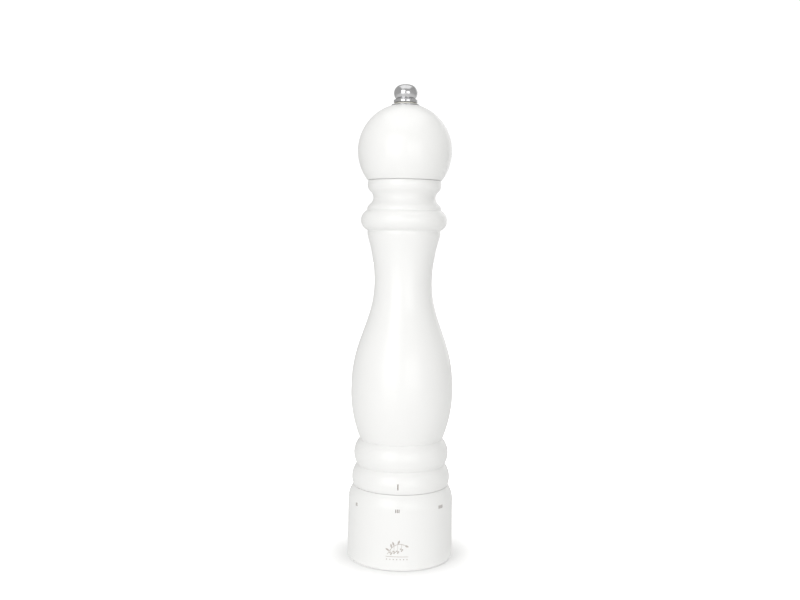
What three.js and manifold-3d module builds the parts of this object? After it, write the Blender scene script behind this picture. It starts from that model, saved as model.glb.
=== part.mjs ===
// A tall turned pepper mill: a lacquered beech body and ball head on a grind-setting ring.
// Turning the head turns a square spindle and the burr on its lower end. Turning the ring at the
// base screws a three-armed carrier up or down, which moves the burr and so sets the grind.
// Millimetres, +Z up. The origin is the centre of the ring's foot, and the index line faces -Y.
import * as THREE from "three";
import { mergeVertices } from "three/addons/utils/BufferGeometryUtils.js";
import Module from "manifold-3d";

const wasm = await Module();
wasm.setup();

// ---- Driving dimensions ----
const HEIGHT = 300;
const RING_R = 33.5; // grind ring, which is also the foot
const RING_TOP = 46.8;
const SEAM = 0.5; // gap between two turned pieces that move on each other
const BODY_FOOT = RING_TOP + SEAM;
const HEAD_FOOT = 240.4;
const BODY_TOP = HEAD_FOOT - SEAM;
const BELLY = { r: 32.3, z: 110 };
const WAIST = { r: 18.3, z: 176.5 };
const BALL = { r: 29.6, z: 258.5 };
const CAP_SEAT_R = 9.5; // flat on top of the ball

const CHAMBER_R = 14; // peppercorn chamber
const SOCKET_R = 18.9; // recess in the body's foot that takes the housing's tube
const SOCKET_TOP = 58.3;
const SPINDLE = 5; // across the flats of the square spindle
const BUSH_R = 5.1; // spindle's bush, in the upper bridge
const THREAD_R = 2.4; // round threaded end of the spindle
const SPINDLE_FOOT = 14.2;
const SHOULDER_Z = 284.8; // where the square ends and the thread starts
const THREAD_TOP = 293;

const GAP = 0.3; // between pieces that only touch
const RUN = 0.4; // radial, between pieces that turn in each other

const SETTINGS = 6;
const STEP = (2 * Math.PI) / 7; // turn of the ring from one setting to the next
const SHOWN = 3; // the setting at rest
const CARRIER_ARMS = 3;

const RING_WALL_R = 29; // inside of the wooden ring
const SLEEVE_R = RING_WALL_R - 0.1;
const LAND_R = 26; // where the sleeve turns on the housing
const RECESS_R = 27.5; // inside of the sleeve round the lip and the carrier
const RECESS_TOP = 13.6;
const HOUSING_R = LAND_R - RUN;
const HOUSING_FOOT = 9.2;
const HOUSING_TOP = BODY_FOOT - 0.2;
const LIP_R = RECESS_R - GAP;
const LIP_TOP = 11;
const TUBE_R = SOCKET_R - GAP;
const TUBE_BORE_R = 16.6;
const SEAT_R = 17.7; // bore that holds the fixed burr
const BURR_TOP = 27.7;
const DETENT_Z = 30;

const SHELL_SIDES = 32; // the large turned shells
const SIDES = 24; // medium turned pieces
const SMALL_SIDES = 16; // screws, bushes and the like

// ---- Materials ----
const finish = (color, roughness, metalness = 0) =>
  new THREE.MeshStandardMaterial({ color, roughness, metalness });
const LACQUER = finish(0xf4f4f2, 0.3);
const WHITE_PLASTIC = finish(0xe9e9e6, 0.45);
const BLACK_PLASTIC = finish(0x1d1d1f, 0.5);
const STAINLESS = finish(0xc9cbcd, 0.22, 1);
const BURR_STEEL = finish(0x6f7276, 0.4, 1);
const SPRING_STEEL = finish(0xa9acb0, 0.3, 1);
const BRASS = finish(0xc9a24a, 0.35, 1);
const NYLON = finish(0xe2dfd4, 0.5);

// ---- Solids ----
// A closed geometry as a manifold-3d solid, for cutting and joining.
function solid(geometry) {
  const bare = geometry.index ? geometry.toNonIndexed() : geometry.clone();
  bare.deleteAttribute("normal");
  bare.deleteAttribute("uv");
  const merged = mergeVertices(bare, 1e-3);
  return new wasm.Manifold(
    new wasm.Mesh({
      numProp: 3,
      vertProperties: merged.attributes.position.array,
      triVerts: new Uint32Array(merged.index.array),
    }),
  );
}

function geometryOf(made) {
  const mesh = made.getMesh();
  return new THREE.BufferGeometry()
    .setAttribute("position", new THREE.BufferAttribute(new Float32Array(mesh.vertProperties), 3))
    .setIndex(new THREE.BufferAttribute(new Uint32Array(mesh.triVerts), 1));
}

// The first geometry, joined with the added ones and cut by the others.
function shaped(base, { add = [], cut = [] }) {
  let made = solid(base);
  for (const piece of add) made = made.add(solid(piece));
  for (const piece of cut) made = made.subtract(solid(piece));
  return geometryOf(made);
}

// Turns an outline of [radius, height] points about Z. It starts and ends on the axis, or is a ring.
function turned(outline, sides = SIDES) {
  const next = (i) => outline[(i + 1) % outline.length];
  const area = outline.reduce((sum, [r, z], i) => sum + r * next(i)[1] - next(i)[0] * z, 0);
  const ordered = area > 0 ? outline : [...outline].reverse();
  const onAxis = ordered[0][0] === 0 && ordered.at(-1)[0] === 0;
  const points = (onAxis ? ordered : [...ordered, ordered[0]]).map(([r, z]) => new THREE.Vector2(r, z));
  return new THREE.LatheGeometry(points, sides).rotateX(Math.PI / 2);
}

// A plain ring or, with an inner radius of 0, a disc.
function ring(inner, outer, low, high, sides = SMALL_SIDES) {
  const outline = [[outer, low], [outer, high], [inner, high], [inner, low]];
  if (inner > 0) return turned(outline, sides);
  return turned([[0, low], [outer, low], [outer, high], [0, high]], sides);
}

// A box from its lowest to its highest corner, turned about Z.
function block([x0, y0, z0], [x1, y1, z1], turn = 0) {
  return new THREE.BoxGeometry(x1 - x0, y1 - y0, z1 - z0)
    .translate((x0 + x1) / 2, (y0 + y1) / 2, (z0 + z1) / 2)
    .rotateZ(turn);
}

// A square bar on the Z axis.
const squareBar = (width, low, high) =>
  block([-width / 2, -width / 2, low], [width / 2, width / 2, high]);

// Part of a ring, centred on an angle measured from +X.
function sector(inner, outer, low, high, middle, spread, sides = 5) {
  const shape = new THREE.Shape();
  shape.absarc(0, 0, outer, middle - spread / 2, middle + spread / 2, false);
  shape.absarc(0, 0, inner, middle + spread / 2, middle - spread / 2, true);
  const solidSector = { depth: high - low, bevelEnabled: false, curveSegments: sides };
  return new THREE.ExtrudeGeometry(shape, solidSector).translate(0, 0, low);
}

// A rod lying along a radius at an angle from +X.
function radialRod(radius, inner, outer, z, angle, sides = 10) {
  return new THREE.CylinderGeometry(radius, radius, outer - inner, sides)
    .rotateZ(Math.PI / 2)
    .translate((inner + outer) / 2, 0, z)
    .rotateZ(angle);
}

// A flat open clip, such as an E-clip or snap ring.
function clip(inner, outer, low, high, opening, facing) {
  const spread = 2 * Math.PI - opening;
  return sector(inner, outer, low, high, facing + Math.PI, spread, 9);
}

// A toothed cone. radiusAt gives the tips' radius from 0 at the bottom to 1 at the top; a tooth's
// root is that radius times `root`, and the teeth wind by `twist` over the height.
function toothed({ teeth, root, low, high, radiusAt, twist, layers }) {
  const pitch = (2 * Math.PI) / teeth;
  const corners = [];
  for (let i = 0; i < teeth; i += 1) {
    corners.push([1, i * pitch], [root, (i + 0.35) * pitch]);
  }
  const shape = new THREE.Shape(
    corners.map(([r, a]) => new THREE.Vector2(r * Math.cos(a), r * Math.sin(a))),
  );
  const star = new THREE.ExtrudeGeometry(shape, { depth: 1, steps: layers, bevelEnabled: false });
  const place = star.attributes.position;
  for (let i = 0; i < place.count; i += 1) {
    const share = place.getZ(i);
    const point = new THREE.Vector2(place.getX(i), place.getY(i))
      .rotateAround(new THREE.Vector2(), twist * share)
      .multiplyScalar(radiusAt(share));
    place.setXYZ(i, point.x, point.y, low + share * (high - low));
  }
  return star;
}

// A coil of wire about the Z axis, its ends at the given heights.
class Helix extends THREE.Curve {
  constructor(radius, low, high, turns) {
    super();
    Object.assign(this, { radius, low, high, turns });
  }

  getPoint(t, target = new THREE.Vector3()) {
    const angle = 2 * Math.PI * this.turns * t;
    return target.set(
      this.radius * Math.cos(angle),
      this.radius * Math.sin(angle),
      this.low + (this.high - this.low) * t,
    );
  }
}

function coil({ radius, wire, low, high, turns, stepsPerTurn, wireSides }) {
  const corners = Array.from({ length: wireSides }, (_, i) => {
    const a = (2 * Math.PI * i) / wireSides;
    return new THREE.Vector2(wire * Math.cos(a), wire * Math.sin(a));
  });
  return new THREE.ExtrudeGeometry(new THREE.Shape(corners), {
    steps: Math.round(turns * stepsPerTurn),
    extrudePath: new Helix(radius, low + wire, high - wire, turns),
    bevelEnabled: false,
  });
}

// ---- Outlines: lists of [radius, height] ----
// The circular arc from one point to another through a third.
function arc([ax, ay], [bx, by], [cx, cy], steps) {
  const d = 2 * (ax * (by - cy) + bx * (cy - ay) + cx * (ay - by));
  const [a2, b2, c2] = [ax * ax + ay * ay, bx * bx + by * by, cx * cx + cy * cy];
  const ox = (a2 * (by - cy) + b2 * (cy - ay) + c2 * (ay - by)) / d;
  const oy = (a2 * (cx - bx) + b2 * (ax - cx) + c2 * (bx - ax)) / d;
  const angle = (x, y) => Math.atan2(y - oy, x - ox);
  const start = angle(ax, ay);
  const unwrap = (a, from) => {
    const turn = 2 * Math.PI;
    return from + ((((a - from) % turn) + turn) % turn);
  };
  const [via, end] = [unwrap(angle(bx, by), start), unwrap(angle(cx, cy), start)];
  const sweep = via < end ? end - start : end - start - 2 * Math.PI;
  const radius = Math.hypot(ax - ox, ay - oy);
  return Array.from({ length: steps + 1 }, (_, i) => {
    const a = start + (sweep * i) / steps;
    return [ox + radius * Math.cos(a), oy + radius * Math.sin(a)];
  });
}

// A smooth sweep between two heights where the outline stands upright, with how far each end
// keeps its own direction.
function sweep(from, to, hold, reach, steps) {
  const curve = new THREE.CubicBezierCurve(
    new THREE.Vector2(from.r, from.z),
    new THREE.Vector2(from.r, from.z + hold),
    new THREE.Vector2(to.r, to.z - reach),
    new THREE.Vector2(to.r, to.z),
  );
  return curve.getPoints(steps).map((p) => [p.x, p.y]);
}

// Joins stretches of outline and drops a point that repeats the one before it.
function outlineOf(...stretches) {
  return stretches
    .flat()
    .filter(([r, z], i, all) => i === 0 || Math.hypot(r - all[i - 1][0], z - all[i - 1][1]) > 1e-3);
}

function bodyProfile() {
  const lowerGroove = [28.1, 60.3];
  const upperGroove = [26.45, 76.5];
  return outlineOf(
    arc([30.4, BODY_FOOT], [31.25, 52.5], lowerGroove, 5), // lower bead
    arc(lowerGroove, [30.1, 68.1], upperGroove, 6), // upper bead
    arc(upperGroove, [30.3, 88.5], [BELLY.r, BELLY.z], 4), // belly
    sweep(BELLY, WAIST, 29.5, 25.5, 7),
    arc([WAIST.r, WAIST.z], [19.25, 189.5], [22.8, 205.2], 3), // neck
    [[23.1, 207.4], [22.9, 208.4]],
    arc([23.2, 209], [27.2, 215.6], [23.9, 221.2], 6), // neck bead
    [[23.3, 221.6], [23.2, 223.5], [22.5, 224.5]],
    arc([21.4, 225.6], [19.6, 229.3], [21.3, 233.1], 4), // cove
    arc([22.3, 234.2], [23.15, 236.9], [22.95, 239.5], 3), // collar
    [[22.6, BODY_TOP]],
  );
}

function headProfile() {
  const rimZ = BALL.z - Math.sqrt(BALL.r ** 2 - 23.5 ** 2);
  const crownZ = BALL.z + Math.sqrt(BALL.r ** 2 - CAP_SEAT_R ** 2);
  return outlineOf(
    [[23.1, HEAD_FOOT]],
    arc([23.5, rimZ], [BALL.r, BALL.z], [CAP_SEAT_R + 0.6, crownZ - 0.25], 12),
    [[CAP_SEAT_R, crownZ]],
  );
}

const CROWN_Z = headProfile().at(-1)[1];

// ---- Body ----
const SCREW_RADIUS = 21.7; // circle that the housing's screws stand on
const SCREW_ANGLES = [0, 1, 2].map((i) => ((i + 0.5) * 2 * Math.PI) / 3);

function bodyShell() {
  const pilot = SCREW_ANGLES.map((a) =>
    ring(0, 1.6, BODY_FOOT - 1, 56.5, 8)
      .translate(SCREW_RADIUS * Math.cos(a), SCREW_RADIUS * Math.sin(a), 0),
  );
  const inside = [
    [CHAMBER_R + 0.6, BODY_TOP],
    [CHAMBER_R, BODY_TOP - 0.6],
    [CHAMBER_R, SOCKET_TOP],
    [SOCKET_R, SOCKET_TOP],
    [SOCKET_R, BODY_FOOT],
  ];
  return shaped(turned([...bodyProfile(), ...inside], SHELL_SIDES), { cut: pilot });
}

// Holds the fixed burr and hangs from the body's foot. Its lip carries the grind ring.
const STOP_SPREAD = THREE.MathUtils.degToRad(70);
const LUG_SPREAD = THREE.MathUtils.degToRad(30);
const LUG_ANGLE = Math.PI / 2; // on the sleeve, at rest
const STOP_ANGLE = LUG_ANGLE + 3 * STEP;
const DETENT_ANGLE = -Math.PI / 2;
const FINGER_WIDTH = 6;
const FINGER_R = [24.4, 25.3];
const ARM_ANGLES = Array.from({ length: CARRIER_ARMS }, (_, i) => Math.PI / 2 + i * 2 * Math.PI / 3);
const BRIDGE = { low: 55.9, high: 57.8, width: 8, eye: 7.4 };
const FLANGE_LOW = 44.6;
const WALL_BORE_R = 24.1;
const SEAT_WALL_R = 19.4;

function mechanismHousing() {
  const frame = turned([
    [TUBE_BORE_R, 57.9],
    [TUBE_R, 57.9],
    [TUBE_R, HOUSING_TOP],
    [HOUSING_R, HOUSING_TOP],
    [HOUSING_R, LIP_TOP],
    [LIP_R, LIP_TOP],
    [LIP_R, HOUSING_FOOT],
    [WALL_BORE_R, HOUSING_FOOT],
    [WALL_BORE_R, FLANGE_LOW],
    [SEAT_WALL_R, FLANGE_LOW],
    [SEAT_WALL_R, HOUSING_FOOT],
    [SEAT_R, HOUSING_FOOT],
    [SEAT_R, BURR_TOP + GAP],
    [15.6, BURR_TOP + GAP],
    [TUBE_BORE_R, BURR_TOP + 3],
  ], SHELL_SIDES);
  const stop = sector(HOUSING_R - 0.5, LIP_R, LIP_TOP - 0.5, RECESS_TOP - 0.5, STOP_ANGLE, STOP_SPREAD);
  const detentBoss = radialRod(2.7, SEAT_WALL_R - 0.5, WALL_BORE_R + 0.5, DETENT_Z, DETENT_ANGLE, 12);
  const detentPocket = radialRod(1.75, 20.4, HOUSING_R + 1, DETENT_Z, DETENT_ANGLE, 10);
  const screwHoles = SCREW_ANGLES.map((a) =>
    ring(0, 1.75, FLANGE_LOW - 1, HOUSING_TOP + 1, 8)
      .translate(SCREW_RADIUS * Math.cos(a), SCREW_RADIUS * Math.sin(a), 0),
  );
  const half = FINGER_WIDTH / 2 + GAP;
  const fingerSlots = ARM_ANGLES.map((a) =>
    block([WALL_BORE_R - 1, -half, HOUSING_FOOT - 1], [25.62, half, 17], a),
  );
  const keyways = ARM_ANGLES.map((a) =>
    block([SEAT_R - 1, -1.8, HOUSING_FOOT - 1], [SEAT_R + 0.9, 1.8, BURR_TOP + GAP], a),
  );
  const bridgeSeat = block(
    [-BRIDGE.width / 2 - GAP, -30, BRIDGE.low - 0.2],
    [BRIDGE.width / 2 + GAP, 30, 60],
  );
  return shaped(frame, {
    add: [stop, detentBoss],
    cut: [detentPocket, ...screwHoles, ...fingerSlots, ...keyways, bridgeSeat],
  });
}

const housingScrew = () =>
  turned([
    [0, 42.2], [1.6, 42.2], [2.3, 42.9], [2.3, FLANGE_LOW - 0.2], [1.3, FLANGE_LOW - 0.2],
    [1.3, 54.5], [0, 56],
  ], 12);

// Steel bar across the top of the housing's tube, with an eye for the spindle's bush.
function upperBridge() {
  const half = BRIDGE.width / 2;
  const reach = TUBE_R - 0.3;
  const eyeAngle = Math.asin(half / BRIDGE.eye);
  const plan = new THREE.Shape();
  plan.moveTo(half, -reach);
  plan.absarc(0, 0, BRIDGE.eye, eyeAngle - Math.PI / 2, Math.PI / 2 - eyeAngle, false);
  plan.lineTo(half, reach);
  plan.lineTo(-half, reach);
  plan.absarc(0, 0, BRIDGE.eye, Math.PI / 2 + eyeAngle, 1.5 * Math.PI - eyeAngle, false);
  plan.lineTo(-half, -reach);
  plan.holes.push(new THREE.Path().absarc(0, 0, BUSH_R + 0.25, 0, 2 * Math.PI, true));
  const plate = { depth: BRIDGE.high - BRIDGE.low, bevelEnabled: false, curveSegments: 8 };
  return new THREE.ExtrudeGeometry(plan, plate).translate(0, 0, BRIDGE.low);
}

// ---- Burrs ----
const BURR = { foot: 8.3, neck: 19, top: 33, footR: 13.2, neckR: 12.2, topR: 6.6 };
const BURR_GAP = 0.5; // tip to tip at rest, which closes a little as the burr rises
const mix = THREE.MathUtils.lerp;

// The tips' radius of the turning burr's lower cone at a height.
const grindRadius = (z) =>
  mix(BURR.footR, BURR.neckR, (z - BURR.foot) / (BURR.neck - BURR.foot));

function stator() {
  const low = 10.6;
  const split = 19;
  const body = ring(9, SEAT_R - GAP, low, BURR_TOP, SHELL_SIDES);
  const root = 0.9; // of the tooth form, which is the stator's tips in this hollow
  const grinding = toothed({
    teeth: 24, root, low: low - 0.5, high: split, twist: -0.28, layers: 3,
    radiusAt: (t) => (grindRadius(mix(low - 0.5, split, t)) + BURR_GAP) / root,
  });
  const feeding = toothed({
    teeth: 10, root: 0.86, low: split - 0.01, high: BURR_TOP + 0.5, twist: -0.45, layers: 3,
    radiusAt: (t) => mix(15.2, 16.8, t),
  });
  const keys = ARM_ANGLES.map((a) =>
    block([SEAT_R - 1.5, -1.4, low + 3], [SEAT_R + 0.5, 1.4, BURR_TOP - 3], a),
  );
  return shaped(body, { add: keys, cut: [grinding, feeding] });
}

function rotor() {
  const grinding = toothed({
    teeth: 22, root: 0.91, low: BURR.foot, high: BURR.neck, twist: 0.32, layers: 3,
    radiusAt: (t) => mix(BURR.footR, BURR.neckR, t),
  });
  const breaking = toothed({
    teeth: 6, root: 0.72, low: BURR.neck - 0.3, high: BURR.top, twist: 1.5, layers: 8,
    radiusAt: (t) => mix(BURR.neckR - 0.1, BURR.topR, t),
  });
  const core = turned([
    [0, 3], [2.3, 3], [2.9, 3.6], [2.9, BURR.foot + 1], [8.4, BURR.foot + 1], [8.4, BURR.neck],
    [6.2, BURR.top - 1], [7.1, BURR.top - 1], [7.1, BURR.top + 1.2], [0, BURR.top + 1.2],
  ], 20);
  const recess = ring(6.4, 10.6, BURR.foot - 1, BURR.foot + 7.5, 20);
  return shaped(grinding, {
    add: [breaking, core],
    cut: [recess, squareBar(SPINDLE + 0.5, SPINDLE_FOOT - 1.6, 40)],
  });
}

// ---- Grind ring ----
function ringShell() {
  const edge = 2.4; // rounding at the foot
  return turned(outlineOf(
    [[RING_WALL_R, 0.5], [RING_WALL_R + 0.5, 0]],
    arc([RING_R - edge - 0.2, 0], [RING_R - 0.62, 0.75], [RING_R, edge + 0.2], 4),
    arc([RING_R, 37.4], [32.9, 41.6], [30.7, 46.1], 5), // shoulder
    [[30.2, RING_TOP], [RING_WALL_R, RING_TOP]],
  ), SHELL_SIDES);
}

// Plastic lining of the ring. It turns on the housing, carries the thread for the carrier, the
// detent's grooves and the lug that meets the housing's stop.
function adjusterSleeve() {
  const lining = turned([
    [SLEEVE_R, 1.2], [SLEEVE_R, 46.4], [LAND_R, 46.4], [LAND_R, RECESS_TOP],
    [RECESS_R, RECESS_TOP], [RECESS_R, 1.2],
  ], SHELL_SIDES);
  const lug = sector(LAND_R, RECESS_R + 0.5, LIP_TOP + 0.4, RECESS_TOP + 0.5, LUG_ANGLE, LUG_SPREAD);
  // Setting k is at the index when the ring has turned by (SHOWN - k) steps.
  const grooves = Array.from({ length: SETTINGS }, (_, i) => {
    const angle = DETENT_ANGLE + (i + 1 - SHOWN) * STEP;
    const centre = LAND_R - 0.2;
    return ring(0, 1.1, DETENT_Z - 3, DETENT_Z + 3, 10)
      .translate(centre * Math.cos(angle), centre * Math.sin(angle), 0);
  });
  return shaped(lining, { add: [lug], cut: grooves });
}

// ---- Carrier ----
// Three arms and a rim, screwed up and down by the sleeve. Its fingers slide in the housing's
// slots, so it doesn't turn.
function carrier() {
  const [fingerIn, fingerOut] = FINGER_R;
  const hub = ring(4.5, 6.6, 2.3, 6.7, 20);
  const rim = ring(24.4, RECESS_R - GAP - 0.1, 2.6, 7.4, SHELL_SIDES);
  const arms = ARM_ANGLES.map((a) => block([5.6, -3.2, 2.6], [25.5, 3.2, 6.4], a));
  const fingers = ARM_ANGLES.map((a) =>
    block([fingerIn, -FINGER_WIDTH / 2, 7], [fingerOut, FINGER_WIDTH / 2, 15.5], a),
  );
  return shaped(hub, { add: [rim, ...arms, ...fingers] });
}

const carrierBush = () =>
  turned([[3.2, 2.4], [4.3, 2.4], [4.3, 6.9], [5.9, 6.9], [5.9, 7.5], [3.2, 7.5]], SMALL_SIDES);

// ---- Spindle ----
const LOWER_CLIP = [54, 54.8];
const UPPER_CLIP = [59.5, 60.3];
const CLIP_R = 5.9;
const CLIP_GROOVE_R = 2.75;

function spindle() {
  const bar = squareBar(SPINDLE, SPINDLE_FOOT, SHOULDER_Z);
  const thread = turned([
    [0, SHOULDER_Z - 1], [THREAD_R, SHOULDER_Z - 1], [THREAD_R, THREAD_TOP - 0.6],
    [THREAD_R - 0.6, THREAD_TOP], [0, THREAD_TOP],
  ], SMALL_SIDES);
  const grooves = [LOWER_CLIP, UPPER_CLIP].map(([low, high]) =>
    ring(CLIP_GROOVE_R, SPINDLE, low - 0.1, high + 0.1, SMALL_SIDES),
  );
  return shaped(bar, { add: [thread], cut: grooves });
}

function spindleBush() {
  const sleeve = turned([
    [0, 55], [BUSH_R, 55], [BUSH_R, 58.1], [6.6, 58.1], [6.6, 59.2], [0, 59.2],
  ], 20);
  return shaped(sleeve, { cut: [squareBar(SPINDLE + 0.4, 50, 70)] });
}

const springWasher = () =>
  shaped(ring(0, 7.3, 53.1, 53.7, 20), { cut: [squareBar(SPINDLE + 0.4, 50, 60)] });

// ---- Head ----
const TENON_R = CHAMBER_R - RUN;
const HEAD_BORE_R = 4.6;
const FERRULE_BORE_R = 4;
const TENON_FOOT = 231.2;
const PLATE = { low: 229.2, high: TENON_FOOT - 0.2, r: 12.6 };
const PLATE_SCREW_R = 8.8;
const FERRULE_FOOT = 280;

function headShell() {
  const body = turned([
    ...headProfile(),
    [6.5, CROWN_Z],
    [6.5, FERRULE_FOOT - GAP],
    [HEAD_BORE_R, FERRULE_FOOT - GAP],
    [HEAD_BORE_R, TENON_FOOT],
    [TENON_R, TENON_FOOT],
    [TENON_R, HEAD_FOOT],
  ], SHELL_SIDES);
  const pilots = [1, -1].map((side) =>
    ring(0, 1.3, TENON_FOOT - 1, 239, 8).translate(side * PLATE_SCREW_R, 0, 0),
  );
  return shaped(body, { cut: pilots });
}

// Steel plate under the tenon, whose square hole turns the spindle.
function drivePlate() {
  const holes = [1, -1].map((side) =>
    ring(0, 1.4, PLATE.low - 1, PLATE.high + 1, 10).translate(side * PLATE_SCREW_R, 0, 0),
  );
  return shaped(ring(0, PLATE.r, PLATE.low, PLATE.high, SIDES), {
    cut: [squareBar(SPINDLE + 0.4, 220, 240), ...holes],
  });
}

const plateScrew = () =>
  turned([
    [0, 227.5], [1.3, 227.5], [2, 228.1], [2, PLATE.low - 0.15], [1.05, PLATE.low - 0.15],
    [1.05, 237], [0, 238.2],
  ], 10);

const headFerrule = () =>
  turned([
    [FERRULE_BORE_R, FERRULE_FOOT], [6.3, FERRULE_FOOT], [6.3, CROWN_Z + 0.2], [8.8, CROWN_Z + 0.2],
    [9, CROWN_Z + 0.5], [8.7, CROWN_Z + 0.9], [FERRULE_BORE_R, CROWN_Z + 0.9],
  ], SIDES);

// ---- Finial nut ----
const RING_FOOT = CROWN_Z + 1.1;
const NUT_FOOT = RING_FOOT + 0.9;
const NUT_BORE_R = THREAD_R + GAP;

function finialNut() {
  return turned(outlineOf(
    [[NUT_BORE_R, NUT_FOOT], [7.2, NUT_FOOT], [7.5, NUT_FOOT + 0.4], [7.5, NUT_FOOT + 1.6]],
    [[6, NUT_FOOT + 2.4]],
    arc([6.1, NUT_FOOT + 3.4], [7.4, NUT_FOOT + 6.4], [5.2, HEIGHT - 1.2], 5),
    [[3, HEIGHT - 0.2], [0, HEIGHT], [0, THREAD_TOP + 1.2], [NUT_BORE_R, THREAD_TOP + 0.4]],
  ), SIDES);
}

// ---- Assembly ----
const mill = new THREE.Group();

function piece(name, geometry, material, x = 0, y = 0) {
  const mesh = new THREE.Mesh(geometry, material);
  mesh.name = name;
  mesh.position.set(x, y, 0);
  mill.add(mesh);
}

piece("body_shell", bodyShell(), LACQUER);
piece("mechanism_housing", mechanismHousing(), WHITE_PLASTIC);
SCREW_ANGLES.forEach((a, i) =>
  piece(`housing_screw_${i + 1}`, housingScrew(), STAINLESS,
    SCREW_RADIUS * Math.cos(a), SCREW_RADIUS * Math.sin(a)),
);
piece("upper_bridge", upperBridge(), STAINLESS);
piece("stator_burr", stator(), BURR_STEEL);
piece("stator_snap_ring", clip(16.2, SEAT_R - 0.2, 9.5, 10.3, 0.5, -Math.PI / 2), SPRING_STEEL);
piece("detent_ball",
  new THREE.SphereGeometry(1.5, 10, 6).translate(0, -(HOUSING_R - 1.5), DETENT_Z), STAINLESS);
piece("detent_spring",
  coil({ radius: 1.1, wire: 0.2, low: -1.15, high: 1.15, turns: 4, stepsPerTurn: 7, wireSides: 4 })
    .rotateX(Math.PI / 2).translate(0, -21.6, DETENT_Z), SPRING_STEEL);

piece("grind_ring_shell", ringShell(), LACQUER);
piece("adjuster_sleeve", adjusterSleeve(), BLACK_PLASTIC);

piece("burr_carrier", carrier(), BLACK_PLASTIC);
piece("carrier_bush", carrierBush(), BRASS);
piece("thrust_washer", ring(3.3, 5.9, 7.6, 8.1), STAINLESS);

piece("spindle", spindle(), STAINLESS);
piece("spindle_bush", spindleBush(), BRASS);
piece("spindle_clip_lower", clip(CLIP_GROOVE_R + 0.2, CLIP_R, ...LOWER_CLIP, 1.3, 0), SPRING_STEEL);
piece("spindle_clip_upper", clip(CLIP_GROOVE_R + 0.2, CLIP_R, ...UPPER_CLIP, 1.3, Math.PI / 2), SPRING_STEEL);
piece("spring_washer", springWasher(), STAINLESS);
piece("rotor_spring",
  coil({ radius: 6.1, wire: 0.6, low: 34.5, high: 52.9, turns: 5.5, stepsPerTurn: 11, wireSides: 5 }),
  SPRING_STEEL);
piece("rotor_burr", rotor(), BURR_STEEL);

piece("head_shell", headShell(), LACQUER);
piece("drive_plate", drivePlate(), STAINLESS);
piece("drive_plate_screw_1", plateScrew(), STAINLESS, PLATE_SCREW_R, 0);
piece("drive_plate_screw_2", plateScrew(), STAINLESS, -PLATE_SCREW_R, 0);
piece("head_ferrule", headFerrule(), STAINLESS);

piece("nut_friction_ring", ring(FERRULE_BORE_R, 6.9, RING_FOOT, NUT_FOOT - 0.2, 20), NYLON);
piece("finial_nut", finialNut(), STAINLESS);

export default mill;
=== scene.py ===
# A tall white turned pepper mill with a ball head and a grind-setting ring, built round its frame.
# Outlines are in millimetres in the frame's own axes and are scaled to metres as meshes are made.
import cmath
import math

import bmesh
import bpy
from mathutils import Matrix, Vector


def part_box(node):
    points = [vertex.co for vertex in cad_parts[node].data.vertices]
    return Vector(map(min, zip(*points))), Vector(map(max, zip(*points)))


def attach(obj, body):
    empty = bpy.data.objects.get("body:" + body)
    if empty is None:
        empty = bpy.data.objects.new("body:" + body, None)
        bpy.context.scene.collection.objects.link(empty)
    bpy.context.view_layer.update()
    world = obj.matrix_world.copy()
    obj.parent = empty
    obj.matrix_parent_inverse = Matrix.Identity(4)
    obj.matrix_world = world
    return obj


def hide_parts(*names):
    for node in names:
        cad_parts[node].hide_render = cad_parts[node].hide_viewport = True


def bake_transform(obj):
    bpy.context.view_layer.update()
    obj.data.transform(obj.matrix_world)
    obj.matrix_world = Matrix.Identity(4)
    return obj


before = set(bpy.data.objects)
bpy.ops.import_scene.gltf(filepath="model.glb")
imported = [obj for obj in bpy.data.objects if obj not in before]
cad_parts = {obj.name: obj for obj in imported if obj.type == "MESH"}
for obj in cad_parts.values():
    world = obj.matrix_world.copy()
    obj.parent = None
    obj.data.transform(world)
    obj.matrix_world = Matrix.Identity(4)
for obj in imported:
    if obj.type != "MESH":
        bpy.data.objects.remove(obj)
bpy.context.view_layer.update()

MM = 0.001
TAU = 2 * math.pi
FINE = 192  # sides of the large turned pieces
MEDIUM = 96  # sides of the small turned pieces
SMALL = 48  # sides of screws and other thin turned pieces


def heights(node):
    """A node's lowest and highest point."""
    low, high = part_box(node)
    return low.z / MM, high.z / MM


def outer_radius(node):
    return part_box(node)[1].x / MM


def around(radius, angle):
    return radius * math.cos(angle), radius * math.sin(angle)


def mix(a, b, share):
    return a + (b - a) * share


# ---- Shared dimensions ----
EDGE = 0.15  # by which lacquered edges beside a seam are fuller than their CAD solids
HEAD_SEAM = 0.2  # gap between the head and the body
RING_R = outer_radius("grind_ring_shell")
RING_TOP = heights("grind_ring_shell")[1] + EDGE
BODY_FOOT = heights("body_shell")[0] - EDGE
BODY_TOP = heights("body_shell")[1] + EDGE
CHAMBER_R = 14.0
SETTINGS = 6
SETTING_STEP = TAU / 7  # one place is left blank
SHOWN_SETTING = 3  # the setting whose mark stands at the index at rest
INDEX_ANGLE = -math.pi / 2
SCREW_ANGLES = [(i + 0.5) * TAU / 3 for i in range(3)]
SCREW_CIRCLE = 21.7
ARM_ANGLES = [math.pi / 2 + i * TAU / 3 for i in range(3)]
PLATE_SCREW_R = 8.8  # how far the drive plate's screws are from the axis
NUT_PITCH = 1.0
LEAD = 4.0  # rise of the carrier for one turn of the ring
STARTS = 4
SPINDLE_WIDTH = 5.0
SQUARE_PLAY = 0.4  # of every square hole, across its flats
CLICK_HEIGHT = 30.0


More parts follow.
